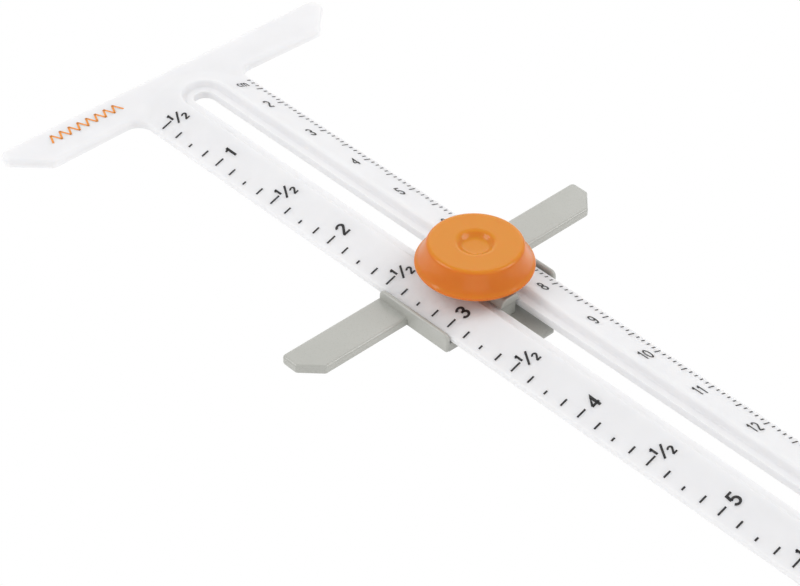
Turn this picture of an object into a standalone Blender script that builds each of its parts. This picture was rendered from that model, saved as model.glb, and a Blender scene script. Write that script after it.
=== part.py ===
"""Sliding sewing gauge: a T-headed ruler, a cross-bar slider and its clamp knob.

Lengths are written in millimetres and scaled by MM. X is read on the ruler's own
scales, whose zero is just outside the head, and Z = 0 is the ruler's underside.
Every piece hangs on one empty that puts the origin under the gauge's middle.
"""

import math

import bmesh
import bpy
from mathutils import Vector

MM = 0.001

# Ruler: blade cross-section. The distance d runs outwards from the slot's centre line.
SLOT_HALF = 1.76
LEDGE_HALF = 3.15
LEDGE_Z = 2.25
CREST_D = 3.95
CREST_Z = 3.08
SLOPE_D = 5.3
SLOPE = 0.36
BLADE_HALF = 10.03
EDGE_Z = 0.94
EDGE_ROUND = 0.15
SLOT_START = 11.86
SLOT_END = 203.2
BLADE_END = 214.0
TURN_REACH = 10.4
WEB_UNDER_Z = 0.95
CHANNEL_START = 9.0
CHANNEL_END = 204.5

# Ruler: T-head.
HEAD_X0 = 1.0
HEAD_X1 = 8.2
HEAD_THICK = 1.45
HEAD_TIP_HALF = 34.65
HEAD_SHOULDER = 26.8
HEAD_FLARE = 0.35
TIP_RADIUS = 1.75
SHOULDER_RADIUS = 1.2
NEAR_FILLET = 2.5
FAR_FILLET = 2.0
HEAD_ROUND = 0.5

# Slider cross-bar.
ARM_X0 = 63.4
ARM_X1 = 69.55
ARM_HALF = 29.6
ARM_CHAMFER = 3.05
BODY_X1 = 77.85
BODY_HALF = 10.98
SLIDER_BOTTOM = -1.8
SLIDER_TOP = -0.3
LIP_INNER = 10.3
LIP_TOP = 1.25
PAD_HALF = 3.6
PAD_TOP = 0.45
TONGUE_HALF = 3.0
TONGUE_X1 = 85.45
TONGUE_TOP = -0.2
TONGUE_THICK = 0.9
POST_HALF = 1.45
POST_LENGTH = 3.0
FRONT_POST_X1 = 79.6
REAR_POST_X0 = 64.0
HOOK_HALF = 2.08
HOOK_UNDER = 2.55
HOOK_TOP = 3.72

# Clamp knob, on the vertical axis at KNOB_X.
KNOB_X = 72.05
KNOB_TOP = 9.14
KNOB_TOP_R = 7.14
RIM_R = 8.68
RIM_Z = 5.85
RIM_UNDER = 5.25
DIMPLE_FLOOR = 8.42
DIMPLE_FLOOR_R = 1.85
DIMPLE_RIM_R = 2.85
HUB_R = 4.2
HUB_BOTTOM = 3.5
KNOB_BORE_R = 2.35
KNOB_BORE_TOP = 7.2
SKIRT_INNER_R = 7.1
CAVITY_TOP = 7.3

# Fastening: steel screw, brass insert and nylon thrust washer.
SCREW_R = 1.25
SCREW_HEAD_R = 2.2
SCREW_TOP = 6.7
INSERT_R = 2.1
INSERT_BORE_R = 1.45
WASHER_R = 2.85
WASHER_BORE_R = 1.6
WASHER_Z0 = 2.55
WASHER_Z1 = 3.2

ROUND_STEPS = 72

MIDDLE_X = 0.5 * (HEAD_X0 + BLADE_END)


def clear_scene():
    for obj in list(bpy.data.objects):
        bpy.data.objects.remove(obj, do_unlink=True)


def make_material(name, colour, roughness, metallic=0.0):
    mat = bpy.data.materials.new(name)
    mat.use_nodes = True
    shader = mat.node_tree.nodes["Principled BSDF"]
    shader.inputs["Base Color"].default_value = (*colour, 1.0)
    shader.inputs["Roughness"].default_value = roughness
    shader.inputs["Metallic"].default_value = metallic
    return mat


def make_base():
    """The empty that carries every piece."""
    base = bpy.data.objects.new("gauge_base", None)
    base.location = (-MIDDLE_X * MM, 0.0, -SLIDER_BOTTOM * MM)
    base.empty_display_size = 0.01
    bpy.context.collection.objects.link(base)
    return base


def make_object(name, verts, faces, mat=None, angle=35.0, origin=(0.0, 0.0, 0.0)):
    """A mesh object from millimetre points, with its faces turned outwards."""
    mesh = bpy.data.meshes.new(name)
    local = [tuple((c - o) * MM for c, o in zip(v, origin)) for v in verts]
    mesh.from_pydata(local, [], faces)
    bm = bmesh.new()
    bm.from_mesh(mesh)
    bmesh.ops.remove_doubles(bm, verts=bm.verts, dist=1e-7)
    bmesh.ops.recalc_face_normals(bm, faces=bm.faces)
    bm.to_mesh(mesh)
    bm.free()
    obj = bpy.data.objects.new(name, mesh)
    obj.location = tuple(o * MM for o in origin)
    obj.parent = bpy.data.objects["gauge_base"]
    bpy.context.collection.objects.link(obj)
    if mat:
        mesh.materials.append(mat)
    mesh.shade_smooth()
    mesh.set_sharp_from_angle(angle=math.radians(angle))
    return obj


def boolean(obj, tool, operation):
    """Adds a Boolean modifier and leaves its tool out of the finished part."""
    mod = obj.modifiers.new(tool.name, "BOOLEAN")
    mod.operation = operation
    mod.solver = "EXACT"
    mod.object = tool
    tool.hide_render = True
    tool.display_type = "WIRE"


def loft(rings, closed_ring=True, caps=True, closed_path=False):
    """Vertices and faces of a skin over equal-length rings of points."""
    count = len(rings[0])
    verts = [v for ring in rings for v in ring]
    faces = []
    steps = len(rings) if closed_path else len(rings) - 1
    for i in range(steps):
        a = i * count
        b = ((i + 1) % len(rings)) * count
        span = count if closed_ring else count - 1
        for j in range(span):
            k = (j + 1) % count
            faces.append((a + j, a + k, b + k, b + j))
    if caps and not closed_path:
        faces.append(tuple(range(count)))
        faces.append(tuple(range((len(rings) - 1) * count, len(rings) * count)))
    return verts, faces


def inset(outline, amounts):
    """The outline moved inwards by one amount per vertex (counter-clockwise)."""
    moved = []
    count = len(outline)
    for i, (x, y) in enumerate(outline):
        px, py = outline[i - 1]
        nx, ny = outline[(i + 1) % count]
        ax, ay = x - px, y - py
        bx, by = nx - x, ny - y
        la, lb = math.hypot(ax, ay), math.hypot(bx, by)
        n1 = (-ay / la, ax / la)
        n2 = (-by / lb, bx / lb)
        mx, my = n1[0] + n2[0], n1[1] + n2[1]
        scale = 2.0 / (mx * mx + my * my)
        moved.append((x + mx * scale * amounts[i], y + my * scale * amounts[i]))
    return moved


def rounded_plate(outline, z0, z1, top_round, under_round=0.15, weights=None, steps=4):
    """Rings of a plate with quarter-round top edges and chamfered lower edges."""
    weights = weights or [1.0] * len(outline)
    rings = []
    low = inset(outline, [under_round * w for w in weights])
    rings.append([(x, y, z0) for x, y in low])
    rings.append([(x, y, z0 + under_round) for x, y in outline])
    for i in range(steps + 1):
        t = 0.5 * math.pi * i / steps
        move = [top_round * w * (1.0 - math.cos(t)) for w in weights]
        drop = top_round * (1.0 - math.sin(t))
        ring = inset(outline, move)
        rings.append([(x, y, z1 - drop) for x, y in ring])
    return loft(rings)


def filleted(corners, steps=5):
    """An outline from (x, y, radius) corners, each rounded by an arc of its radius."""
    points = []
    for i, (x, y, radius) in enumerate(corners):
        if radius <= 0.0:
            points.append((x, y))
            continue
        here = Vector((x, y))
        back = (Vector(corners[i - 1][:2]) - here).normalized()
        ahead = (Vector(corners[(i + 1) % len(corners)][:2]) - here).normalized()
        half = 0.5 * back.angle(ahead)
        centre = here + (back + ahead).normalized() * (radius / math.sin(half))
        reach = radius / math.tan(half)
        first = here + back * reach - centre
        turn = first.angle_signed(here + ahead * reach - centre)
        start = math.atan2(first.y, first.x)
        for k in range(steps + 1):
            a = start - turn * k / steps
            points.append((centre.x + radius * math.cos(a), centre.y + radius * math.sin(a)))
    return points


def rounded_box(name, lo, hi, radius=0.15, mat=None, corner=None):
    """A box with rounded upright corners and rounded top edges."""
    corner = 2.0 * radius if corner is None else corner
    (x0, y0, z0), (x1, y1, z1) = lo, hi
    outline = filleted([(x0, y0, corner), (x1, y0, corner), (x1, y1, corner), (x0, y1, corner)], 3)
    verts, faces = rounded_plate(outline, z0, z1, radius, min(radius, 0.15), steps=3)
    return make_object(name, verts, faces, mat)


def lathe(name, profile, mat, centre_x=KNOB_X, steps=ROUND_STEPS, angle=35.0):
    """A turned solid from a closed (radius, z) profile; radius 0 closes on the axis."""
    verts = []
    index = []
    for radius, z in profile:
        if radius < 1e-6:
            index.append([len(verts)] * steps)
            verts.append((centre_x, 0.0, z))
            continue
        row = []
        for i in range(steps):
            a = 2.0 * math.pi * i / steps
            row.append(len(verts))
            verts.append((centre_x + radius * math.cos(a), radius * math.sin(a), z))
        index.append(row)
    faces = []
    for r in range(len(profile)):
        a, b = index[r], index[(r + 1) % len(profile)]
        if profile[r][0] < 1e-6 and profile[(r + 1) % len(profile)][0] < 1e-6:
            continue
        for i in range(steps):
            k = (i + 1) % steps
            face = [a[i], a[k], b[k], b[i]]
            unique = [v for n, v in enumerate(face) if v not in face[:n]]
            faces.append(tuple(unique))
    return make_object(name, verts, faces, mat, angle, origin=(centre_x, 0.0, 0.0))


# ---------------------------------------------------------------- ruler

def roof_z(d):
    """Height of the sloping scale strip at distance d from the slot's centre line."""
    return EDGE_Z + SLOPE * (BLADE_HALF - d)


def blade_profile(outer):
    """Closed (d, z) profile from the slot wall over the crest to the outer edge."""
    points = [(SLOT_HALF, 0.0), (SLOT_HALF, LEDGE_Z - 0.1), (SLOT_HALF + 0.1, LEDGE_Z)]
    points += [(LEDGE_HALF, LEDGE_Z), (LEDGE_HALF + 0.12, LEDGE_Z + 0.12)]
    points += [(LEDGE_HALF + 0.22, CREST_Z - 0.32), (LEDGE_HALF + 0.42, CREST_Z - 0.06)]
    steps = 5
    for i in range(steps + 1):
        t = i / steps
        d = CREST_D + (SLOPE_D - CREST_D) * t
        z = CREST_Z + (roof_z(SLOPE_D) - CREST_Z) * t
        bulge = 0.10 * 4.0 * t * (1.0 - t)
        points.append((d, z + bulge))
    points.append((0.5 * (SLOPE_D + BLADE_HALF), roof_z(0.5 * (SLOPE_D + BLADE_HALF))))
    points.append((outer - EDGE_ROUND, roof_z(outer - EDGE_ROUND)))
    points.append((outer, roof_z(outer) - EDGE_ROUND * 0.8))
    points.append((outer, EDGE_ROUND))
    points.append((outer - EDGE_ROUND, 0.0))
    return points


def blade_ring():
    """The blade as its profile swept round the slot: two straights and two half turns."""
    turn_steps = 24
    rings = []
    for cx, start in ((SLOT_START, 90.0), (SLOT_END, 270.0)):
        for i in range(turn_steps + 1):
            a = math.radians(start + 180.0 * i / turn_steps)
            side = abs(math.sin(a))
            outer = min(BLADE_HALF / max(side, 0.2), TURN_REACH)
            ring = []
            for d, z in blade_profile(outer):
                ring.append((cx + d * math.cos(a), d * math.sin(a), z))
            rings.append(ring)
    return loft(rings, closed_path=True)


def head_outline():
    """The T-head seen from above, with diagonal ends; it laps over the blade's root."""
    root = HEAD_X1 + 1.4
    tuck = BLADE_HALF - 0.1
    corners = [
        (HEAD_X0, -HEAD_TIP_HALF, TIP_RADIUS),
        (HEAD_X1 + HEAD_FLARE, -HEAD_SHOULDER, SHOULDER_RADIUS),
        (HEAD_X1, -tuck, NEAR_FILLET),
        (HEAD_X1 + NEAR_FILLET + 0.5, -tuck, 0.0),
        (HEAD_X1 + NEAR_FILLET + 0.5, -tuck + 0.8, 0.0),
        (root, -tuck + 2.0, 0.0),
        (root, tuck - 2.0, 0.0),
        (HEAD_X1 + FAR_FILLET + 1.5, tuck - 0.8, 0.0),
        (HEAD_X1 + FAR_FILLET + 1.5, tuck, 0.0),
        (HEAD_X1, tuck, FAR_FILLET),
        (HEAD_X1 + HEAD_FLARE, HEAD_SHOULDER, SHOULDER_RADIUS),
        (HEAD_X0, HEAD_TIP_HALF, TIP_RADIUS),
    ]
    return filleted(corners, 6)


def end_outline():
    """The blade's far end seen from above, a thin plate with rounded corners."""
    root = SLOT_END + 2.3
    tuck = BLADE_HALF - 0.1
    corners = [
        (root, -8.0, 0.0),
        (SLOT_END - 0.5, -tuck + 0.8, 0.0),
        (SLOT_END - 0.5, -tuck, 0.0),
        (BLADE_END, -tuck, 2.5),
        (BLADE_END, tuck, 2.5),
        (SLOT_END - 0.5, tuck, 0.0),
        (SLOT_END - 0.5, tuck - 0.8, 0.0),
        (root, 8.0, 0.0),
    ]
    return filleted(corners, 6)


def build_ruler(mat):
    ruler = make_object("ruler", *blade_ring(), mat, angle=30.0)

    head = rounded_plate(head_outline(), 0.0, HEAD_THICK, HEAD_ROUND, 0.15)
    boolean(ruler, make_object("head_tool", *head), "UNION")

    end = rounded_plate(end_outline(), 0.0, EDGE_Z - 0.05, 0.15)
    boolean(ruler, make_object("end_tool", *end), "UNION")

    foot = 8.85
    section = [(-foot, -0.2), (-4.6, 1.33), (-4.1, WEB_UNDER_Z), (4.1, WEB_UNDER_Z),
               (4.6, 1.33), (foot, -0.2)]
    rings = [[(x, y, z) for y, z in section] for x in (CHANNEL_START, CHANNEL_END)]
    boolean(ruler, make_object("channel_tool", *loft(rings)), "DIFFERENCE")
    return ruler


# ---------------------------------------------------------------- slider

def build_slider(mat):
    low = SLIDER_BOTTOM
    y = ARM_HALF
    c = ARM_CHAMFER
    outline = filleted([
        (ARM_X0, -y, 0.7), (ARM_X1 - c, -y, 0.7), (ARM_X1, -y + c, 0.7),
        (ARM_X1, y - c, 0.7), (ARM_X1 - c, y, 0.7), (ARM_X0, y, 0.7),
    ], 3)
    plate = rounded_plate(outline, low, SLIDER_TOP, 0.25, 0.2)
    slider = make_object("slider_crossbar", *plate, mat, angle=30.0, origin=(KNOB_X, 0.0, 0.0))

    body = rounded_box("body_tool", (ARM_X0, -LIP_INNER - 0.3, low),
                       (BODY_X1, LIP_INNER + 0.3, SLIDER_TOP), 0.15)
    boolean(slider, body, "UNION")
    for side in (-1, 1):
        y0, y1 = sorted((side * LIP_INNER, side * BODY_HALF))
        lip = rounded_box(f"lip_tool_{side}", (ARM_X0, y0, low), (BODY_X1, y1, LIP_TOP),
                          0.16, corner=0.28)
        boolean(slider, lip, "UNION")
    pad = rounded_box("pad_tool", (ARM_X0 + 0.3, -PAD_HALF, low + 0.4),
                      (BODY_X1 - 0.3, PAD_HALF, PAD_TOP), 0.15)
    boolean(slider, pad, "UNION")
    tongue = rounded_box("tongue_tool", (BODY_X1 - 2.0, -TONGUE_HALF, TONGUE_TOP - TONGUE_THICK),
                         (TONGUE_X1, TONGUE_HALF, TONGUE_TOP), 0.15, corner=0.6)
    boolean(slider, tongue, "UNION")

    for name, x0 in (("front", FRONT_POST_X1 - POST_LENGTH), ("rear", REAR_POST_X0)):
        x1 = x0 + POST_LENGTH
        post = rounded_box(f"{name}_post_tool", (x0, -POST_HALF, -0.8),
                           (x1, POST_HALF, HOOK_TOP - 0.3), 0.15)
        boolean(slider, post, "UNION")
        h = HOOK_HALF
        section = [(-h + 0.1, HOOK_UNDER), (h - 0.1, HOOK_UNDER), (h, HOOK_UNDER + 0.1),
                   (h, HOOK_UNDER + 0.45), (h - 0.75, HOOK_TOP), (-h + 0.75, HOOK_TOP),
                   (-h, HOOK_UNDER + 0.45), (-h, HOOK_UNDER + 0.1)]
        rings = [[(x, yy, z) for yy, z in section] for x in (x0 - 0.01, x1 + 0.01)]
        boolean(slider, make_object(f"{name}_hook_tool", *loft(rings)), "UNION")

    seat = [(0.0, low - 0.5), (SCREW_HEAD_R + 0.35, low - 0.5), (SCREW_HEAD_R + 0.35, -0.55),
            (SCREW_R + 0.3, 0.05), (SCREW_R + 0.3, PAD_TOP + 0.5), (0.0, PAD_TOP + 0.5)]
    boolean(slider, lathe("screw_seat_tool", seat, None, steps=48), "DIFFERENCE")
    return slider


# ---------------------------------------------------------------- knob and fastening

def build_knob(mat):
    profile = [(0.0, DIMPLE_FLOOR), (DIMPLE_FLOOR_R - 0.15, DIMPLE_FLOOR)]
    profile += [(DIMPLE_FLOOR_R + 0.1, DIMPLE_FLOOR + 0.12)]
    profile += [(DIMPLE_RIM_R - 0.25, KNOB_TOP - 0.14), (DIMPLE_RIM_R + 0.1, KNOB_TOP)]
    edge = 0.72
    for i in range(6):
        t = math.radians(90.0 - 68.0 * i / 5)
        profile.append((KNOB_TOP_R - edge + edge * math.cos(t), KNOB_TOP - edge + edge * math.sin(t)))
    profile.append((0.5 * (KNOB_TOP_R + RIM_R) + 0.12, 0.5 * (KNOB_TOP + RIM_Z)))
    for i in range(5):
        t = math.radians(25.0 - 115.0 * i / 4)
        r = 0.5
        profile.append((RIM_R - r + r * math.cos(t), RIM_UNDER + r + r * math.sin(t)))
    profile += [(SKIRT_INNER_R + 0.25, RIM_UNDER), (SKIRT_INNER_R, RIM_UNDER + 0.25)]
    profile += [(SKIRT_INNER_R - 0.55, CAVITY_TOP - 0.3), (SKIRT_INNER_R - 0.9, CAVITY_TOP)]
    profile += [(HUB_R + 0.35, CAVITY_TOP), (HUB_R, CAVITY_TOP - 0.35)]
    profile += [(HUB_R, HUB_BOTTOM + 0.2), (HUB_R - 0.2, HUB_BOTTOM)]
    profile += [(KNOB_BORE_R + 0.2, HUB_BOTTOM), (KNOB_BORE_R, HUB_BOTTOM + 0.2)]
    profile += [(KNOB_BORE_R, KNOB_BORE_TOP), (0.0, KNOB_BORE_TOP)]
    return lathe("clamp_knob", profile, mat)


def build_insert(mat):
    z0 = HUB_BOTTOM + 0.25
    z1 = KNOB_BORE_TOP - 0.25
    mid = 0.5 * (z0 + z1)
    out = INSERT_R
    profile = [(INSERT_BORE_R, z0), (out - 0.1, z0), (out, z0 + 0.1), (out, mid - 0.35)]
    profile += [(out - 0.3, mid - 0.25), (out - 0.3, mid + 0.25), (out, mid + 0.35)]
    profile += [(out, z1 - 0.1), (out - 0.1, z1), (INSERT_BORE_R, z1)]
    return lathe("threaded_insert", profile, mat, steps=48)


def build_screw(mat):
    low = SLIDER_BOTTOM + 0.1
    head = SCREW_HEAD_R
    profile = [(0.0, low), (head - 0.15, low), (head, low + 0.15), (head, -0.95)]
    profile += [(SCREW_R, -0.1), (SCREW_R, 3.0), (SCREW_R + 0.05, 3.1)]
    profile += [(SCREW_R + 0.05, SCREW_TOP - 0.35), (SCREW_R - 0.3, SCREW_TOP), (0.0, SCREW_TOP)]
    screw = lathe("clamp_screw", profile, mat, steps=48)
    slot = rounded_box("driver_slot_tool", (KNOB_X - 2.6, -0.3, low - 1.0),
                       (KNOB_X + 2.6, 0.3, low + 0.55), 0.06)
    boolean(screw, slot, "DIFFERENCE")
    return screw


def build_washer(mat):
    z0, z1 = WASHER_Z0, WASHER_Z1
    profile = [(WASHER_BORE_R, z0), (WASHER_R - 0.12, z0), (WASHER_R, z0 + 0.12)]
    profile += [(WASHER_R, z1 - 0.12), (WASHER_R - 0.12, z1), (WASHER_BORE_R, z1)]
    return lathe("thrust_washer", profile, mat, steps=48)


def main():
    clear_scene()
    make_base()
    white = make_material("white_plastic", (0.86, 0.86, 0.88), 0.42)
    grey = make_material("grey_plastic", (0.50, 0.51, 0.48), 0.45)
    orange = make_material("orange_plastic", (0.72, 0.26, 0.04), 0.38)
    brass = make_material("brass", (0.71, 0.53, 0.22), 0.30, 1.0)
    steel = make_material("zinc_plated_steel", (0.62, 0.63, 0.65), 0.28, 1.0)
    nylon = make_material("natural_nylon", (0.80, 0.78, 0.70), 0.50)
    build_ruler(white)
    build_slider(grey)
    build_knob(orange)
    build_insert(brass)
    build_screw(steel)
    build_washer(nylon)


main()
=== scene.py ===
import math

import bmesh
import bpy
import numpy as np
from mathutils import Matrix, Vector
from mathutils.geometry import delaunay_2d_cdt


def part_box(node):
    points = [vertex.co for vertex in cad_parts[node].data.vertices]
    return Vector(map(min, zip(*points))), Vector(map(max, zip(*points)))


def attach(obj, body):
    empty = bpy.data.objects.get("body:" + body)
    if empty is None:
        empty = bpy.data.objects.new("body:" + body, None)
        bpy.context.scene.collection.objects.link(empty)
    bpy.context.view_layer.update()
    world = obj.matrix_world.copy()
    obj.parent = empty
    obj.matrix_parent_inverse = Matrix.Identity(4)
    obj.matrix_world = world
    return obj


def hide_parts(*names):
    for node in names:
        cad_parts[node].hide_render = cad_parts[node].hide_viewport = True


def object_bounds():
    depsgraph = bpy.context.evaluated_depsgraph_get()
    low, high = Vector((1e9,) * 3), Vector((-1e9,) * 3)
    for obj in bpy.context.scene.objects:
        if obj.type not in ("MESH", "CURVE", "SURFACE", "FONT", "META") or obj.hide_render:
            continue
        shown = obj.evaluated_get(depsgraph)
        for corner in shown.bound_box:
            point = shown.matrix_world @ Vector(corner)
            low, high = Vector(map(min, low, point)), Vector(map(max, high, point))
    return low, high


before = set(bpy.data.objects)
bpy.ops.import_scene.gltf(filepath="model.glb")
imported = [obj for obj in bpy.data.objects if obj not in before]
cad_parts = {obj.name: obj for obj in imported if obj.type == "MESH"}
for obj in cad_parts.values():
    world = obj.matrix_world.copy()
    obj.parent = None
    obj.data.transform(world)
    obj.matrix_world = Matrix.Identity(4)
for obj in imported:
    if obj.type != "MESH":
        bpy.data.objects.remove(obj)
CAD_LO, CAD_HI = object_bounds()

# Everything below is worked out in scale millimetres: x is read on the inch scale,
# y is 0 on the slot's centre line and z is 0 at the ruler's underside.
MM = 0.001
HEAD_X0 = 1.0
RULER_LO, RULER_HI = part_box("ruler")
SHIFT = Vector((RULER_LO.x - HEAD_X0 * MM, 0.0, RULER_LO.z))
KNOB_LO, KNOB_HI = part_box("clamp_knob")
KNOB_X = ((KNOB_LO.x + KNOB_HI.x) / 2 - SHIFT.x) / MM
BLADE_END = (RULER_HI.x - SHIFT.x) / MM


def metres(points):
    """World positions of scale millimetres."""
    return np.asarray(points, float) * MM + np.array(SHIFT)


# ------------------------------------------------------------------ materials

def node(tree, kind, **values):
    """A shader node with its properties and unlinked inputs set by name."""
    made = tree.nodes.new(kind)
    for key, value in values.items():
        if hasattr(made, key) and key not in made.inputs:
            setattr(made, key, value)
        else:
            made.inputs[key].default_value = value
    return made


def ramp(tree, factor, stops):
    """A colour ramp over a factor, with (position, colour) stops."""
    made = tree.nodes.new("ShaderNodeValToRGB")
    while len(made.color_ramp.elements) < len(stops):
        made.color_ramp.elements.new(0.5)
    for element, (position, colour) in zip(made.color_ramp.elements, stops):
        element.position = position
        element.color = (*colour, 1.0)
    tree.links.new(factor, made.inputs["Fac"])
    return made.outputs["Color"]


COAT_ROUGHNESS = 0.11


def moulded(name, dark, light, rough, grain=0.035, speckle=(), specular=0.5,
            coat=0.0, glow=0.0, reach=0.001, depth=(1, 1, 1), painted_top_sheen=()):
    """Moulded plastic: cloudy colour, a fine satin grain and faint flow marks.

    speckle is the colour of fine dots; the last argument is a painted sheen: a paler colour laid on
    faces that look up, in place of the overhead lamps' light on the tops.
    glow, reach and depth are the subsurface weight, scale and radius.
    """
    mat = bpy.data.materials.new(name)
    mat.use_nodes = True
    tree = mat.node_tree
    shader = tree.nodes["Principled BSDF"]
    shader.inputs["Specular IOR Level"].default_value = specular
    shader.inputs["Coat Weight"].default_value = coat
    shader.inputs["Coat Roughness"].default_value = COAT_ROUGHNESS
    shader.inputs["Subsurface Weight"].default_value = glow
    shader.inputs["Subsurface Scale"].default_value = reach
    shader.inputs["Subsurface Radius"].default_value = depth
    where = tree.nodes.new("ShaderNodeTexCoord").outputs["Object"]

    cloud = node(tree, "ShaderNodeTexNoise", Scale=160.0, Detail=3.0, Roughness=0.55)
    tree.links.new(where, cloud.inputs["Vector"])
    colour = ramp(tree, cloud.outputs["Fac"], [(0.30, dark), (0.70, light)])
    if speckle:
        dots = node(tree, "ShaderNodeTexNoise", Scale=5200.0, Detail=1.0, Roughness=0.4)
        tree.links.new(where, dots.inputs["Vector"])
        mask = ramp(tree, dots.outputs["Fac"], [(0.60, (0, 0, 0)), (0.74, (0.6,) * 3)])
        mix = node(tree, "ShaderNodeMix", data_type="RGBA")
        mix.inputs[7].default_value = (*speckle, 1.0)
        tree.links.new(mask, mix.inputs[0])
        tree.links.new(colour, mix.inputs[6])
        colour = mix.outputs[2]
    # Painted light: faces that look up blend to a paler colour, a painted sheen standing in for the
    # overhead lamps' light on the tops.
    if painted_top_sheen:
        facing = tree.nodes.new("ShaderNodeSeparateXYZ")
        normal = tree.nodes.new("ShaderNodeNewGeometry").outputs["Normal"]
        tree.links.new(normal, facing.inputs[0])
        top_sheen_mask = ramp(tree, facing.outputs["Z"], [(0.55, (0, 0, 0)), (0.98, (1, 1, 1))])
        mix = node(tree, "ShaderNodeMix", data_type="RGBA")
        mix.inputs[7].default_value = (*painted_top_sheen, 1.0)
        tree.links.new(top_sheen_mask, mix.inputs[0])
        tree.links.new(colour, mix.inputs[6])
        colour = mix.outputs[2]
    tree.links.new(colour, shader.inputs["Base Color"])

    haze = node(tree, "ShaderNodeTexNoise", Scale=420.0, Detail=4.0, Roughness=0.6)
    tree.links.new(where, haze.inputs["Vector"])
    level = node(tree, "ShaderNodeMapRange")
    level.inputs["To Min"].default_value = rough - 0.05
    level.inputs["To Max"].default_value = rough + 0.07
    tree.links.new(haze.outputs["Fac"], level.inputs["Value"])
    tree.links.new(level.outputs["Result"], shader.inputs["Roughness"])

    pits = node(tree, "ShaderNodeTexNoise", Scale=9000.0, Detail=2.0, Roughness=0.5)
    tree.links.new(where, pits.inputs["Vector"])
    fine = node(tree, "ShaderNodeBump", Strength=grain, Distance=0.00003)
    tree.links.new(pits.outputs["Fac"], fine.inputs["Height"])
    flow = node(tree, "ShaderNodeBump", Strength=0.04, Distance=0.0002)
    tree.links.new(haze.outputs["Fac"], flow.inputs["Height"])
    tree.links.new(fine.outputs["Normal"], flow.inputs["Normal"])
    tree.links.new(flow.outputs["Normal"], shader.inputs["Normal"])
    return mat


def ink(name, colour, rough=0.42):
    """Pad-printed ink: nearly even, with a slightly thin and broken film."""
    mat = bpy.data.materials.new(name)
    mat.use_nodes = True
    tree = mat.node_tree
    shader = tree.nodes["Principled BSDF"]
    shader.inputs["Specular IOR Level"].default_value = 0.35
    where = tree.nodes.new("ShaderNodeTexCoord").outputs["Object"]
    film = node(tree, "ShaderNodeTexNoise", Scale=3800.0, Detail=3.0, Roughness=0.6)
    tree.links.new(where, film.inputs["Vector"])
    thin = tuple(min(1.0, c * 1.25 + 0.035) for c in colour)
    tree.links.new(ramp(tree, film.outputs["Fac"], [(0.35, colour), (0.75, thin)]),
                   shader.inputs["Base Color"])
    level = node(tree, "ShaderNodeMapRange")
    level.inputs["To Min"].default_value = rough - 0.08
    level.inputs["To Max"].default_value = rough + 0.12
    tree.links.new(film.outputs["Fac"], level.inputs["Value"])
    tree.links.new(level.outputs["Result"], shader.inputs["Roughness"])
    return mat


def metal(name, dark, light, rough):
    """Turned metal: rings of fine tool marks round the axis and a mottled plate."""
    mat = bpy.data.materials.new(name)
    mat.use_nodes = True
    tree = mat.node_tree
    shader = tree.nodes["Principled BSDF"]
    shader.inputs["Metallic"].default_value = 1.0
    where = tree.nodes.new("ShaderNodeTexCoord").outputs["Object"]
    mottle = node(tree, "ShaderNodeTexNoise", Scale=1500.0, Detail=4.0, Roughness=0.6)
    tree.links.new(where, mottle.inputs["Vector"])
    tree.links.new(ramp(tree, mottle.outputs["Fac"], [(0.3, dark), (0.7, light)]),
                   shader.inputs["Base Color"])
    centre = node(tree, "ShaderNodeMapping")
    axis = metres((KNOB_X, 0.0, 0.0))
    centre.inputs["Location"].default_value = (-axis[0], -axis[1], -axis[2])
    tree.links.new(where, centre.inputs["Vector"])
    rings = node(tree, "ShaderNodeTexWave", wave_type="RINGS", rings_direction="Z",
                 Scale=2200.0, Distortion=0.6, Detail=2.0)
    tree.links.new(centre.outputs["Vector"], rings.inputs["Vector"])
    level = node(tree, "ShaderNodeMapRange")
    level.inputs["To Min"].default_value = rough
    level.inputs["To Max"].default_value = rough + 0.14
    tree.links.new(rings.outputs["Fac"], level.inputs["Value"])
    tree.links.new(level.outputs["Result"], shader.inputs["Roughness"])
    marks = node(tree, "ShaderNodeBump", Strength=0.12, Distance=0.00002)
    tree.links.new(rings.outputs["Fac"], marks.inputs["Height"])
    tree.links.new(marks.outputs["Normal"], shader.inputs["Normal"])
    return mat


WHITE = moulded("white_plastic", (0.772, 0.772, 0.785), (0.796, 0.796, 0.808), 0.42,
                glow=1.0, reach=0.002, depth=(1.0, 0.96, 0.92))
GREY = moulded("grey_plastic", (0.442, 0.445, 0.410), (0.468, 0.470, 0.436), 0.34,
               grain=0.045, coat=0.55, speckle=(0.37, 0.37, 0.33))
# The knob's paler colour on upward faces is a painted top sheen, not fading of the plastic.
ORANGE = moulded("orange_plastic", (0.672, 0.172, 0.009), (0.710, 0.187, 0.011), 0.42,
                 grain=0.03, specular=0.14, coat=0.46, glow=0.5, reach=0.0012,
                 depth=(1.0, 0.35, 0.1), painted_top_sheen=(0.700, 0.248, 0.009))
NYLON = moulded("natural_nylon", (0.66, 0.64, 0.56), (0.72, 0.70, 0.62), 0.45)
BLACK_INK = ink("black_ink", (0.016, 0.015, 0.016))
ORANGE_INK = ink("orange_ink", (0.80, 0.27, 0.025))
STEEL = metal("zinc_plate", (0.50, 0.51, 0.53), (0.66, 0.67, 0.69), 0.24)
BRASS = metal("brass", (0.55, 0.38, 0.14), (0.74, 0.55, 0.24), 0.26)


# ------------------------------------------------------------------ mesh helpers

def mesh_object(name, points, faces, mat, body, replaced=(), smooth=True):
    """A piece from points in scale millimetres, riding on a body."""
    mesh = bpy.data.meshes.new(name)
    mesh.from_pydata(metres(points).tolist(), [], [tuple(map(int, f)) for f in faces])
    mesh.validate()
    mesh.materials.append(mat)
    if smooth:
        mesh.shade_smooth()
    obj = bpy.data.objects.new(name, mesh)
    bpy.context.collection.objects.link(obj)
    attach(obj, body)
    if replaced:
        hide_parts(*replaced)
    return obj


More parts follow.
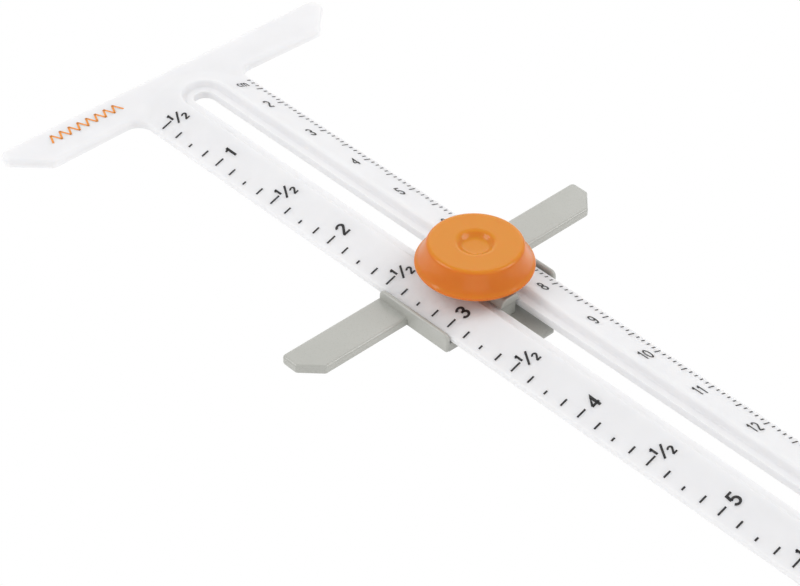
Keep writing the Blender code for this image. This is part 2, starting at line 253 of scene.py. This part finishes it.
def smoothstep(a, b, x):
    """0 below a, 1 above b and a smooth rise between them."""
    t = np.clip((np.asarray(x, float) - a) / (b - a), 0.0, 1.0)
    return t * t * (3.0 - 2.0 * t)


def soft_min(a, b, k):
    """The lesser of a and b, blended where they differ by less than k."""
    h = np.clip(0.5 + 0.5 * (b - a) / k, 0.0, 1.0)
    return b * (1.0 - h) + a * h - k * h * (1.0 - h)


def soft_max(a, b, k):
    """The greater of a and b, blended where they differ by less than k."""
    return -soft_min(-a, -b, k)


def filleted(corners, steps=6):
    """An outline from (x, y, radius) corners, counter-clockwise, each rounded by an arc."""
    points = []
    for i, (x, y, radius) in enumerate(corners):
        if radius <= 0.0:
            points.append((x, y))
            continue
        here = Vector((x, y))
        back = (Vector(corners[i - 1][:2]) - here).normalized()
        ahead = (Vector(corners[(i + 1) % len(corners)][:2]) - here).normalized()
        half = 0.5 * back.angle(ahead)
        centre = here + (back + ahead).normalized() * (radius / math.sin(half))
        reach = radius / math.tan(half)
        first = here + back * reach - centre
        turn = first.angle_signed(here + ahead * reach - centre)
        start = math.atan2(first.y, first.x)
        for k in range(steps + 1):
            a = start - turn * k / steps
            points.append((centre.x + radius * math.cos(a), centre.y + radius * math.sin(a)))
    return np.array(points)


def divided(outline, spacing):
    """The outline with its long sides cut into pieces of at most the spacing."""
    points = []
    for here, after in zip(outline, np.roll(outline, -1, axis=0)):
        count = max(1, int(math.ceil(np.linalg.norm(after - here) / spacing)))
        for k in range(count):
            points.append(here + (after - here) * k / count)
    return np.array(points)


def inset(outline, amounts):
    """The outline moved inwards by an amount at each point."""
    back = outline - np.roll(outline, 1, axis=0)
    ahead = np.roll(outline, -1, axis=0) - outline
    normals = []
    for side in (back, ahead):
        side = side / np.linalg.norm(side, axis=1)[:, None]
        normals.append(np.stack([-side[:, 1], side[:, 0]], 1))
    mitre = normals[0] + normals[1]
    mitre *= (2.0 / (mitre ** 2).sum(1))[:, None]
    return outline + mitre * np.asarray(amounts)[:, None]


def distance_to(outline, points):
    """Distance from each point to the closed outline."""
    best = np.full(len(points), 1e9)
    for a, b in zip(outline, np.roll(outline, -1, axis=0)):
        along = b - a
        t = np.clip(((points - a) @ along) / (along @ along), 0.0, 1.0)
        best = np.minimum(best, np.linalg.norm(points - a - t[:, None] * along, axis=1))
    return best


def inside(outline, points):
    """Which points lie inside the closed outline."""
    result = np.zeros(len(points), bool)
    for a, b in zip(outline, np.roll(outline, -1, axis=0)):
        crosses = (a[1] > points[:, 1]) != (b[1] > points[:, 1])
        with np.errstate(divide="ignore", invalid="ignore"):
            x = a[0] + (points[:, 1] - a[1]) * (b[0] - a[0]) / (b[1] - a[1])
        result ^= crosses & (points[:, 0] < x)
    return result


# ------------------------------------------------------------------ ruler

BLADE_HALF = 10.03
SLOT_HALF = 1.76
SLOT_START = 11.86
SLOT_END = 203.2
LEDGE_Z = 2.25
LEDGE_HALF = 2.85
WEB_Z = 0.95
CREST_HALF = 3.85
CREST_Z = 3.14
EDGE_Z = 0.94
SLOPE = 0.36
HEAD_X1 = 8.2
HEAD_Z = 1.45
HEAD_TIP = 34.65
TIP_ROUND = 1.75
HEAD_FLARE = 0.35
NEAR_FILLET = 2.5
FAR_FILLET = 2.0
HEAD_SHOULDER = 26.8
SHOULDER_ROUND = 1.2
END_Z = 0.95
END_ROUND = 2.5
WALL = 1.35
HEAD_FALL = 0.85
HEAD_FALL_X = (7.6, 12.4)
ROOF_ONLY = 5.0
LOOP_STEP = 5.0
EDGE_ROUND = 0.22
HEAD_EDGE_ROUND = 0.38
HEAD_EDGE_X = (9.0, 13.5)
SPOT_STEP = 0.42
CREST_LOOPS = [2.3, 2.7, 2.9, 3.0, 3.08, 3.16, 3.24, 3.32, 3.4, 3.48, 3.56, 3.64, 3.72, 3.82,
               3.95, 4.1, 4.25, 4.4, 4.6, 4.8, 5.0, 5.25, 5.6, 6.0]
WEB_LOOPS = [2.6, 3.5, 3.75, 3.85, 3.95, 4.05, 4.15, 4.25, 4.35, 4.5, 4.7, 5.0, 6.0, 7.2, 7.6,
             7.8, 8.0, 8.2, 8.4, 8.6, 8.9]


def slot_distance(x, y):
    """Distance from the slot's centre line, measured round its two ends."""
    over = np.clip(SLOT_START - x, 0.0, None) + np.clip(x - SLOT_END, 0.0, None)
    return np.hypot(over, y)


def roof(d):
    """Height of the printed slope, its crest and the ledge, at distance d."""
    slope = EDGE_Z + SLOPE * (BLADE_HALF - d)
    crest = soft_min(slope, CREST_Z, 0.30)
    return LEDGE_Z + (crest - LEDGE_Z) * smoothstep(LEDGE_HALF, CREST_HALF, d)


def top_z(x, y):
    """Height of the ruler's printed side."""
    x, y = np.asarray(x, float), np.asarray(y, float)
    d = slot_distance(x, y)
    plate = HEAD_Z - HEAD_FALL * smoothstep(*HEAD_FALL_X, x + 0.12 * (BLADE_HALF - np.abs(y)))
    tail = END_Z - 0.4 * (1.0 - smoothstep(SLOT_END - 1.0, SLOT_END + 3.0, x))
    flat = np.maximum(plate, tail)
    return np.where(d < ROOF_ONLY, roof(d), soft_max(roof(d), flat, 0.35))


def under_z(x, y):
    """Height of the ruler's hollow underside."""
    d = slot_distance(np.asarray(x, float), np.asarray(y, float))
    web = WEB_Z + 0.72 * smoothstep(3.75, 4.5, d)
    slope = EDGE_Z - WALL + SLOPE * (BLADE_HALF - d)
    return soft_max(np.where(d < 4.5, web, soft_min(web, slope, 0.2)), 0.0 * d, 0.12)


def racetrack(d, step):
    """The closed loop at distance d round the slot."""
    points = []
    count = int(round(180.0 / step))
    straight = np.linspace(SLOT_START, SLOT_END, 65)
    for i in range(count + 1):
        a = math.radians(90.0 + i * step)
        points.append((SLOT_START + d * math.cos(a), d * math.sin(a)))
    points += [(x, -d) for x in straight[1:-1]]
    for i in range(count + 1):
        a = math.radians(270.0 + i * step)
        points.append((SLOT_END + d * math.cos(a), d * math.sin(a)))
    points += [(x, d) for x in straight[-2:0:-1]]
    return np.array(points)


def ruler_outline():
    """The T seen from above, counter-clockwise."""
    corners = [
        (HEAD_X0, -HEAD_TIP, TIP_ROUND),
        (HEAD_X1 + HEAD_FLARE, -HEAD_SHOULDER, SHOULDER_ROUND),
        (HEAD_X1, -BLADE_HALF, NEAR_FILLET), (BLADE_END, -BLADE_HALF, END_ROUND),
        (BLADE_END, BLADE_HALF, END_ROUND), (HEAD_X1, BLADE_HALF, FAR_FILLET),
        (HEAD_X1 + HEAD_FLARE, HEAD_SHOULDER, SHOULDER_ROUND),
        (HEAD_X0, HEAD_TIP, TIP_ROUND),
    ]
    return divided(filleted(corners, 10), 2.0)


def skin(outline, loops, spots, height):
    """Triangles over the outline, less the slot, through loops and loose spots.

    loops is a list of (points, drop); the first two are the outline's and the slot's.
    Returns vertices, triangles and the vertex numbers of those first two loops.
    """
    coords, drops, edges = [], [], []
    for points, drop in loops:
        start = len(coords)
        coords += [tuple(p) for p in points]
        drops += list(np.broadcast_to(drop, len(points)))
        edges += [(start + i, start + (i + 1) % len(points)) for i in range(len(points))]
    coords += [tuple(p) for p in spots]
    drops += [0.0] * len(spots)
    made = delaunay_2d_cdt([Vector(c) for c in coords], edges, [], 0, 1e-5, True)
    verts = np.array([tuple(v) for v in made[0]])
    lowered = np.zeros(len(verts))
    number = {}
    for i, sources in enumerate(made[3]):
        for s in sources:
            number[s] = i
            lowered[i] = drops[s]
    tris = np.array([f for f in made[2] if len(f) == 3])
    middle = verts[tris].mean(1)
    past_slot = slot_distance(middle[:, 0], middle[:, 1]) > SLOT_HALF * 0.998
    keep = inside(outline, middle) & past_slot
    z = height(verts[:, 0], verts[:, 1]) + lowered
    rim = [number[i] for i in range(len(loops[0][0]))]
    hole = [number[i] for i in range(len(rim), len(rim) + len(loops[1][0]))]
    return np.column_stack([verts, z]), tris[keep], rim, hole


def ruler_loops(outline, radius, slot_radius, distances, sign):
    """Rounded rims of the outline and the slot, then plain loops round the slot."""
    rim_steps, slot_steps = 7, 3
    rims, slots = [], []
    for i in range(rim_steps + 1):
        t = 0.5 * math.pi * i / rim_steps
        rims.append((inset(outline, radius * (1.0 - math.cos(t))),
                     sign * radius * (1.0 - math.sin(t))))
    for i in range(slot_steps + 1):
        t = 0.5 * math.pi * i / slot_steps
        slots.append((racetrack(SLOT_HALF + slot_radius * (1.0 - math.cos(t)), LOOP_STEP),
                      sign * slot_radius * (1.0 - math.sin(t))))
    plain = [(racetrack(d, LOOP_STEP), 0.0) for d in distances]
    return [rims[0], slots[0]] + rims[1:] + slots[1:] + plain


def build_ruler():
    """The T as one closed moulding: printed side, hollow underside and walls."""
    outline = ruler_outline()
    near_head = 1.0 - smoothstep(*HEAD_EDGE_X, outline[:, 0])
    radius = EDGE_ROUND + HEAD_EDGE_ROUND * near_head
    gx, gy = np.meshgrid(np.arange(1.9, 17.0, SPOT_STEP), np.arange(-13.0, 13.01, SPOT_STEP))
    spots = np.column_stack([gx.ravel() + 0.013, gy.ravel() + 0.007])
    d = slot_distance(spots[:, 0], spots[:, 1])
    spots = spots[inside(outline, spots) & (distance_to(outline, spots) > 0.85) & (d > 6.5)]

    top = skin(outline, ruler_loops(outline, radius, 0.10, CREST_LOOPS, -1.0), spots, top_z)
    far = spots[slot_distance(spots[:, 0], spots[:, 1]) > 9.1]
    under_radius = 0.12 + 0.06 * near_head
    under = skin(outline, ruler_loops(outline, under_radius, 0.06, WEB_LOOPS, 1.0), far, under_z)

    base = len(top[0])
    points = np.vstack([top[0], under[0]])
    faces = [tuple(f) for f in top[1]]
    faces += [tuple(base + i for i in reversed(tuple(f))) for f in under[1]]
    for upper, lower in ((top[2], under[2]), (top[3], under[3])):
        count = len(upper)
        for i in range(count):
            k = (i + 1) % count
            faces.append((upper[i], base + lower[i], base + lower[k], upper[k]))
    ruler = mesh_object("ruler_moulding", points, faces, WHITE, "ruler",
                        ("ruler",))
    turn_outwards(ruler.data)


def turn_outwards(mesh):
    """Makes the normals of a closed mesh point outwards."""
    bm = bmesh.new()
    bm.from_mesh(mesh)
    bmesh.ops.recalc_face_normals(bm, faces=bm.faces)
    bm.to_mesh(mesh)
    bm.free()


# ------------------------------------------------------------------ print

INK_LIFT = 0.012


def arc(cx, cy, rx, ry, start, end, steps=14):
    """Points on an ellipse, with angles in degrees."""
    return [(cx + rx * math.cos(math.radians(start + (end - start) * i / steps)),
             cy + ry * math.sin(math.radians(start + (end - start) * i / steps)))
            for i in range(steps + 1)]


# Characters as strokes in a box one unit high.
GLYPHS = {
    "0": (0.56, [arc(0.28, 0.5, 0.23, 0.44, 0, 360, 28)]),
    "1": (0.40, [[(0.26, 0.0), (0.26, 1.0)], [(0.28, 0.93), (0.20, 0.80), (0.04, 0.76)]]),
    "2": (0.58, [arc(0.28, 0.72, 0.21, 0.22, 170, -35, 12) + [(0.07, 0.06)],
                 [(0.03, 0.06), (0.54, 0.06)]]),
    "3": (0.58, [arc(0.27, 0.735, 0.20, 0.205, 165, -80, 12) + [(0.20, 0.53)],
                 [(0.20, 0.53)] + arc(0.27, 0.285, 0.225, 0.235, 85, -165, 13)]),
    "4": (0.60, [[(0.42, 0.0), (0.42, 0.95), (0.06, 0.30)], [(0.02, 0.28), (0.57, 0.28)]]),
    "5": (0.58, [[(0.50, 0.93), (0.15, 0.93), (0.10, 0.50)],
                 [(0.10, 0.50)] + arc(0.27, 0.315, 0.225, 0.26, 120, -160, 14)]),
    "6": (0.58, [arc(0.29, 0.30, 0.21, 0.245, 0, 360, 22),
                 arc(0.33, 0.50, 0.26, 0.44, 55, 195, 12)]),
    "7": (0.56, [[(0.04, 0.93), (0.51, 0.93)], [(0.50, 0.93), (0.30, 0.52), (0.20, 0.0)]]),
    "8": (0.58, [arc(0.28, 0.74, 0.18, 0.20, 0, 360, 20),
                 arc(0.28, 0.28, 0.225, 0.235, 0, 360, 22)]),
    "9": (0.58, [arc(0.28, 0.70, 0.21, 0.245, 0, 360, 22),
                 arc(0.24, 0.50, 0.26, 0.44, 15, -125, 12)]),
    "c": (0.50, [arc(0.27, 0.35, 0.20, 0.30, 45, 315, 14)]),
    "m": (0.86, [[(0.08, 0.0), (0.08, 0.70)],
                 arc(0.24, 0.46, 0.16, 0.20, 180, 0, 9) + [(0.40, 0.0)],
                 arc(0.56, 0.46, 0.16, 0.20, 180, 0, 9) + [(0.72, 0.0)]]),
}


def ribbon(path, width):
    """Quads of constant width along a path, as (points, faces)."""
    path = np.asarray(path, float)
    closed = np.allclose(path[0], path[-1])
    side = np.gradient(path, axis=0)
    if closed:
        side[0] = side[-1] = path[1] - path[-2]
    side /= np.linalg.norm(side, axis=1)[:, None]
    normal = np.column_stack([-side[:, 1], side[:, 0]]) * width / 2
    for i in range(1, len(path) - 1):
        a, b = path[i] - path[i - 1], path[i + 1] - path[i]
        bend = math.acos(np.clip(a @ b / np.linalg.norm(a) / np.linalg.norm(b), -1, 1))
        normal[i] /= max(0.5, math.cos(bend / 2))
    points = np.vstack([path + normal, path - normal])
    n = len(path)
    return points, [(i, i + 1, n + i + 1, n + i) for i in range(n - 1)]


class Print:
    """Flat ink shapes gathered into one piece that lies just over the ruler."""

    def __init__(self):
        self.points, self.faces = [], []

    def add(self, points, faces):
        """Takes in a shape whose faces count its points from zero."""
        base = len(self.points)
        self.points += [tuple(p) for p in points]
        self.faces += [tuple(base + i for i in f) for f in faces]

    def bar(self, x, y0, y1, width):
        """A tick across the ruler at x."""
        cuts = np.linspace(y0, y1, 4)
        pts = [(x + s * width / 2, y) for s in (-1, 1) for y in cuts]
        n = len(cuts)
        self.add(pts, [(i, i + 1, n + i + 1, n + i) for i in range(n - 1)])

    def text(self, words, x, y, height, weight, spacing=0.10):
        """Words centred at x, y that read along +y with their tops towards -x."""
        total = sum(GLYPHS[c][0] for c in words) + spacing * (len(words) - 1)
        cursor = -total / 2
        for c in words:
            wide, strokes = GLYPHS[c]
            for stroke in strokes:
                pts, faces = ribbon([(u + cursor, v - 0.5) for u, v in stroke], weight)
                self.add([(x - v * height, y + u * height) for u, v in pts], faces)
            cursor += wide + spacing

    def stroke(self, x0, y0, x1, y1, width):
        """A straight line between two points."""
        pts, faces = ribbon([(x0, y0), (x1, y1)], width)
        self.add(pts, faces)

    def build(self, name, mat):
        """Lays the shapes on the ruler as one piece."""
        flat = np.array(self.points)
        z = top_z(flat[:, 0], flat[:, 1]) + INK_LIFT
        mesh_object(name, np.column_stack([flat, z]), self.faces, mat, "ruler", smooth=False)


INCH = 25.4
INCH_EDGE = 9.24
INCH_LONG = 1.54
INCH_TICK = 0.32
INCH_SHARES = {0: 1.0, 2: 0.42, 4: 1.12, 6: 0.42}
INCH_FIGURE = (2.32, 0.17)
HALF_HEIGHT = 1.42
HALF_SLASH = 0.32
CM_EDGE = 9.42
CM_LONG = 1.25
CM_START = -0.31
CM_TICK = 0.24
CM_FIGURE = (2.0, 0.15)
NUMBER_Y = 6.25
STITCH_X = 3.85
STITCH_Y0 = -24.2
STITCH_Y1 = -10.6
STITCHES = 16
STITCH_HEIGHT = 1.9
STITCH_WIDTH = 0.34


def build_prints():
    """Both scales and the row of stitches, as ink on the ruler."""
    inch = Print()
    figures = Print()
    for k in range(4, 65):
        share = INCH_SHARES.get(k % 8, 0.80)
        inch.bar(k * INCH / 8, -INCH_EDGE, -INCH_EDGE + INCH_LONG * share, INCH_TICK)
    for k in range(1, 9):
        figures.text(str(k), k * INCH, -NUMBER_Y, *INCH_FIGURE)
    for k in range(8):
        x = (k + 0.5) * INCH
        figures.text("1", x - 0.65, -7.23, HALF_HEIGHT, 0.23)
        figures.stroke(x + 1.35, -7.05, x - 0.75, -5.85, HALF_SLASH)
        figures.text("2", x + 1.1, -5.57, HALF_HEIGHT, 0.21)
    inch.build("inch_ticks", BLACK_INK)
    figures.build("inch_figures", BLACK_INK)

    metric = Print()
    marks = Print()
    for k in range(12, 201):
        share = 1.0 if k % 5 == 0 else 0.55
        metric.bar(k + CM_START, CM_EDGE, CM_EDGE - CM_LONG * share, CM_TICK)
    for k in range(2, 21):
        marks.text(str(k), 10 * k - 0.3, NUMBER_Y, *CM_FIGURE, spacing=0.12)
    marks.text("cm", 12.7, 6.8, 1.55, 0.155, spacing=0.02)
    metric.build("centimetre_ticks", BLACK_INK)
    marks.build("centimetre_figures", BLACK_INK)

    stitch = Print()
    steps = np.linspace(STITCH_Y0, STITCH_Y1, STITCHES + 1)
    zigzag = [(STITCH_X + (0.5 - i % 2) * STITCH_HEIGHT, y) for i, y in enumerate(steps)]
    for a, b in zip(zigzag, zigzag[1:]):
        stitch.stroke(*a, *b, STITCH_WIDTH)
    stitch.build("stitch_mark", ORANGE_INK)


# ------------------------------------------------------------------ solids

def block(name, lo, hi, radius, segments=4, taper=None):
    """A box with all its edges rounded, in scale millimetres."""
    bm = bmesh.new()
    bmesh.ops.create_cube(bm, size=1.0)
    lo, hi = np.array(lo, float), np.array(hi, float)
    for v in bm.verts:
        v.co = Vector((lo + hi) / 2 + np.array(v.co) * (hi - lo))
    if taper:
        for v in bm.verts:
            taper(v.co)
    bmesh.ops.bevel(bm, geom=bm.edges[:], offset=radius, segments=segments, profile=0.5,
                    affect="EDGES", clamp_overlap=True)
    return finish_tool(name, bm)


def finish_tool(name, bm):
    """An object in metres from a mesh in scale millimetres."""
    mesh = bpy.data.meshes.new(name)
    bmesh.ops.recalc_face_normals(bm, faces=bm.faces)
    for v in bm.verts:
        v.co = Vector(metres(v.co))
    bm.to_mesh(mesh)
    bm.free()
    obj = bpy.data.objects.new(name, mesh)
    bpy.context.collection.objects.link(obj)
    return obj


def plate(name, outline, z0, z1, radius, steps=5, upright=False):
    """A flat plate with quarter-round edges on both sides; upright plates lie along x and z."""
    bm = bmesh.new()
    rings = []
    for i in range(2 * steps + 2):
        low = i <= steps
        t = 0.5 * math.pi * (i if low else i - 1 - steps) / steps
        if low:
            move, z = radius * (1 - math.sin(t)), z0 + radius * (1 - math.cos(t))
        else:
            move, z = radius * (1 - math.cos(t)), z1 - radius * (1 - math.sin(t))
        ring = inset(outline, np.full(len(outline), move))
        rings.append([bm.verts.new((x, z, y) if upright else (x, y, z)) for x, y in ring])
    for a, b in zip(rings, rings[1:]):
        for j in range(len(a)):
            k = (j + 1) % len(a)
            bm.faces.new((a[j], a[k], b[k], b[j]))
    bm.faces.new(rings[0])
    bm.faces.new(rings[-1])
    return finish_tool(name, bm)


def turned(name, profile, steps=96):
    """A turned solid round the knob's axis from a closed (radius, z) profile."""
    bm = bmesh.new()
    rows = []
    for radius, z in profile:
        if radius < 1e-6:
            rows.append([bm.verts.new((KNOB_X, 0.0, z))] * steps)
            continue
        rows.append([bm.verts.new((KNOB_X + radius * math.cos(2 * math.pi * i / steps),
                                   radius * math.sin(2 * math.pi * i / steps), z))
                     for i in range(steps)])
    for r in range(len(profile)):
        a, b = rows[r], rows[(r + 1) % len(profile)]
        if profile[r][0] < 1e-6 and profile[(r + 1) % len(profile)][0] < 1e-6:
            continue
        for i in range(steps):
            k = (i + 1) % steps
            corners = []
            for v in (a[i], a[k], b[k], b[i]):
                if v not in corners:
                    corners.append(v)
            bm.faces.new(corners)
    return finish_tool(name, bm)


def merged(base, tools, cuts=()):
    """The base united with tools and less cuts, as one clean mesh."""
    for tool, operation in [(t, "UNION") for t in tools] + [(c, "DIFFERENCE") for c in cuts]:
        mod = base.modifiers.new(tool.name, "BOOLEAN")
        mod.operation, mod.solver, mod.object = operation, "EXACT", tool
    depsgraph = bpy.context.evaluated_depsgraph_get()
    mesh = bpy.data.meshes.new_from_object(base.evaluated_get(depsgraph))
    base.modifiers.clear()
    base.data = mesh
    for tool in list(tools) + list(cuts):
        bpy.data.objects.remove(tool, do_unlink=True)
    return base


def face_weighted(obj, angle=28.0):
    """Smooth shading that keeps the large faces flat."""
    obj.data.shade_smooth()
    obj.data.set_sharp_from_angle(angle=math.radians(angle))
    mod = obj.modifiers.new("face_weights", "WEIGHTED_NORMAL")
    mod.keep_sharp = True
    mod.weight = 90


# ------------------------------------------------------------------ slider

ARM_X0 = 63.4
ARM_X1 = 69.55
ARM_HALF = 29.58
ARM_CHAMFER = 3.05
ARM_LEAN = -0.012
BODY_X1 = 77.85
BODY_HALF = 10.98
SLIDER_Y = 0.15
SLIDER_Z0 = -1.8
SLIDER_Z1 = -0.3
LIP_INNER = 10.28
LIP_X0 = 63.7
LIP_Z = 1.25
TONGUE_X1 = 85.45
TONGUE_HALF = 3.0
PAD_HALF = 3.6
POST_STARTS = (64.0, 76.6)
POST_HALF = 1.45
HOOK_LONG = 3.0
HOOK_OVERHANG = 0.5
HOOK_HALF = 2.08
HOOK_Z = (2.35, 3.72)
HOOK_LEAN = 0.62
SEAT = [(0.0, -2.4), (2.55, -2.4), (2.55, -0.55), (1.55, 0.05), (1.55, 1.2), (0.0, 1.2)]


def build_slider():
    """The crossbar, body, lips, pad, tongue, posts and hooks as one moulding."""
    y, c = ARM_HALF, ARM_CHAMFER
    outline = filleted([
        (ARM_X0, -y, 0.7), (ARM_X1 - c, -y, 0.6), (ARM_X1, -y + c, 0.6),
        (ARM_X1, y - c, 0.6), (ARM_X1 - c, y, 0.6), (ARM_X0, y, 0.7)], 6)
    outline[:, 0] += ARM_LEAN * outline[:, 1]
    outline[:, 1] += SLIDER_Y
    slider = plate("slider_moulding", outline, SLIDER_Z0, SLIDER_Z1, 0.42)
    tools = [block("body", (ARM_X0, SLIDER_Y - LIP_INNER - 0.3, SLIDER_Z0),
                   (BODY_X1, SLIDER_Y + LIP_INNER + 0.3, SLIDER_Z1), 0.25)]
    lip = filleted([(LIP_X0, SLIDER_Z0, 0.45), (BODY_X1, SLIDER_Z0, 0.45),
                    (BODY_X1, LIP_Z, 0.95), (LIP_X0, LIP_Z, 0.95)], 8)
    for side in (-1, 1):
        y0, y1 = sorted((side * LIP_INNER + SLIDER_Y, side * BODY_HALF + SLIDER_Y))
        tools.append(plate("lip", lip, y0, y1, 0.30, upright=True))
    tools.append(block("pad", (ARM_X0 + 0.3, -PAD_HALF, -1.2),
                       (BODY_X1 - 0.3, PAD_HALF, 0.45), 0.12, 3))
    tools.append(block("tongue", (BODY_X1 - 2.0, -TONGUE_HALF, -1.0),
                       (TONGUE_X1, TONGUE_HALF, -0.2), 0.3, 4))

    def lean(co):
        if co.z > 3.2:
            co.y *= HOOK_LEAN
    for x0 in POST_STARTS:
        tools.append(block("post", (x0 + HOOK_OVERHANG, -POST_HALF, -0.8),
                           (x0 + HOOK_LONG - HOOK_OVERHANG, POST_HALF, 3.0), 0.12, 3))
        tools.append(block("hook", (x0, -HOOK_HALF, HOOK_Z[0]),
                           (x0 + HOOK_LONG, HOOK_HALF, HOOK_Z[1]), 0.30, 4, taper=lean))
    cuts = [turned("seat", SEAT)]
    merged(slider, tools, cuts)
    slider.data.materials.clear()
    slider.data.materials.append(GREY)
    face_weighted(slider)
    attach(slider, "slider")
    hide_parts("slider_crossbar")


# ------------------------------------------------------------------ knob

def bend(centre, radius, start, end, steps=8):
    """Points round a corner's centre, with angles in degrees."""
    cx, cz = centre
    return [(cx + radius * math.cos(math.radians(start + (end - start) * i / steps)),
             cz + radius * math.sin(math.radians(start + (end - start) * i / steps)))
            for i in range(steps + 1)]


KNOB_TOP = 9.14
KNOB_EDGE = 0.72
DIMPLE_DEPTH = 0.72


def build_knob():
    """One turned profile with a dimple on top, hollow round a bored hub."""
    top = KNOB_TOP
    floor = top - DIMPLE_DEPTH
    profile = [(0.0, floor), (1.2, floor), (1.72, top - 0.71), (1.90, top - 0.66),
               (2.05, top - 0.57), (2.25, top - 0.42), (2.45, top - 0.265), (2.62, top - 0.15),
               (2.80, top - 0.075), (3.0, top - 0.035), (3.25, top - 0.02)]
    profile += [(3.9, top - 0.03), (4.8, top - 0.03), (5.6, top - 0.015), (6.1, top - 0.003)]
    profile += bend((6.42, top - KNOB_EDGE), KNOB_EDGE, 90, 22, 9)
    profile += [(7.36, 7.95), (7.72, 7.1), (8.10, 6.42), (8.35, 6.05)]
    profile += bend((8.30, 5.63), 0.38, 40, -90)
    profile += [(7.6, 5.25)] + bend((7.3, 5.45), 0.2, -90, -200, 5)
    profile += [(6.55, 7.0), (6.2, 7.3), (4.55, 7.3), (4.2, 6.95)]
    profile += bend((4.0, 3.7), 0.2, 0, -90, 5)
    profile += [(2.55, 3.5), (2.35, 3.7), (2.35, 7.2), (0.0, 7.2)]
    knob = turned("knob_moulding", profile, 160)
    knob.data.materials.append(ORANGE)
    knob.data.shade_smooth()
    knob.data.set_sharp_from_angle(angle=math.radians(50))
    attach(knob, "knob")
    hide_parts("clamp_knob")


def build_fastening():
    """The hidden pieces keep their shape and take their own materials."""
    for name, mat in (("clamp_screw", STEEL), ("threaded_insert", BRASS), ("thrust_washer", NYLON)):
        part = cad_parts[name]
        for s in part.material_slots:
            s.material = mat


# ------------------------------------------------------------------ studio

WORLD_GLOW = 0.60
FLOOR_GLOW = 0.33
LEFT_POWER = 2.45
RIGHT_POWER = 2.25
BACK_POWER = 2.2
FRONT_POWER = 0.6
FLOOR_HALF = 12.0
FLOOR_DROP = 0.0002
FLOOR_ALBEDO = 0.75
AIM = (-0.05, 0.0, 0.0)


def build_studio():
    """A white floor that is clear from underneath, an even sky and four soft panels."""
    z = CAD_LO.z - FLOOR_DROP
    mesh = bpy.data.meshes.new("floor")
    corners = [(-1, -1), (1, -1), (1, 1), (-1, 1)]
    mesh.from_pydata([(x * FLOOR_HALF, y * FLOOR_HALF, z) for x, y in corners], [], [(0, 1, 2, 3)])
    floor = bpy.data.objects.new("floor", mesh)
    bpy.context.collection.objects.link(floor)
    mat = bpy.data.materials.new("floor_paper")
    mat.use_nodes = True
    tree = mat.node_tree
    paper = tree.nodes["Principled BSDF"]
    paper.inputs["Base Color"].default_value = (*(FLOOR_ALBEDO,) * 3, 1.0)
    paper.inputs["Roughness"].default_value = 0.9
    paper.inputs["Specular IOR Level"].default_value = 0.0
    paper.inputs["Emission Color"].default_value = (1.0, 1.0, 1.0, 1.0)
    paper.inputs["Emission Strength"].default_value = FLOOR_GLOW
    bright = node(tree, "ShaderNodeEmission", Strength=1.0)
    seen = tree.nodes.new("ShaderNodeLightPath")
    mix = tree.nodes.new("ShaderNodeMixShader")
    tree.links.new(seen.outputs["Is Camera Ray"], mix.inputs[0])
    tree.links.new(paper.outputs["BSDF"], mix.inputs[1])
    tree.links.new(bright.outputs["Emission"], mix.inputs[2])
    clear = node(tree, "ShaderNodeBsdfTransparent")
    side = tree.nodes.new("ShaderNodeNewGeometry")
    one_sided = tree.nodes.new("ShaderNodeMixShader")
    tree.links.new(side.outputs["Backfacing"], one_sided.inputs[0])
    tree.links.new(mix.outputs["Shader"], one_sided.inputs[1])
    tree.links.new(clear.outputs["BSDF"], one_sided.inputs[2])
    tree.links.new(one_sided.outputs["Shader"], tree.nodes["Material Output"].inputs["Surface"])
    mesh.materials.append(mat)

    world = bpy.data.worlds.new("studio")
    world.use_nodes = True
    sky = world.node_tree.nodes["Background"]
    sky.inputs["Color"].default_value = (1.0, 1.0, 1.0, 1.0)
    sky.inputs["Strength"].default_value = WORLD_GLOW
    bpy.context.scene.world = world

    def panel(name, where, target, size, power):
        light = bpy.data.lights.new(name, "AREA")
        light.shape = "RECTANGLE"
        light.size, light.size_y = size
        light.energy = power
        obj = bpy.data.objects.new(name, light)
        obj.location = where
        obj.rotation_euler = (Vector(target) - Vector(where)).to_track_quat("-Z", "Y").to_euler()
        bpy.context.collection.objects.link(obj)

    panel("left_panel", (-0.48, -0.46, 0.64), AIM, (0.45, 0.45), LEFT_POWER)
    panel("right_panel", (0.38, 0.46, 0.64), AIM, (0.45, 0.45), RIGHT_POWER)
    panel("back_panel", (-0.80, 0.76, 0.55), AIM, (1.2, 0.7), BACK_POWER)
    panel("front_panel", (0.72, -0.66, 0.22), (0.0, 0.0, 0.0), (0.9, 0.3), FRONT_POWER)

    scene = bpy.context.scene
    scene.view_settings.view_transform = "Standard"
    scene.view_settings.look = "None"


LENS = 117.98
EYE = (275.108, -208.326, 236.719 + 2.95)
CAMERA_RIGHT = (0.68126, 0.73189, 0.01484)
CAMERA_BACK = (0.55786, -0.53218, 0.63685)


def build_camera():
    """A long lens above and beyond the blade's free end, on the inch side."""
    data = bpy.data.cameras.new("camera")
    data.sensor_width = 36.0
    data.lens = LENS
    data.clip_start, data.clip_end = 0.01, 20.0
    camera = bpy.data.objects.new("camera", data)
    right = Vector(CAMERA_RIGHT).normalized()
    back = Vector(CAMERA_BACK).normalized()
    up = back.cross(right).normalized()
    right = up.cross(back)
    turn = Matrix((right, up, back)).transposed().to_4x4()
    eye = metres(EYE)
    camera.matrix_world = Matrix.Translation(Vector(eye)) @ turn
    bpy.context.collection.objects.link(camera)
    bpy.context.scene.camera = camera


build_camera()
build_studio()
build_ruler()
build_prints()
build_slider()
build_knob()
build_fastening()
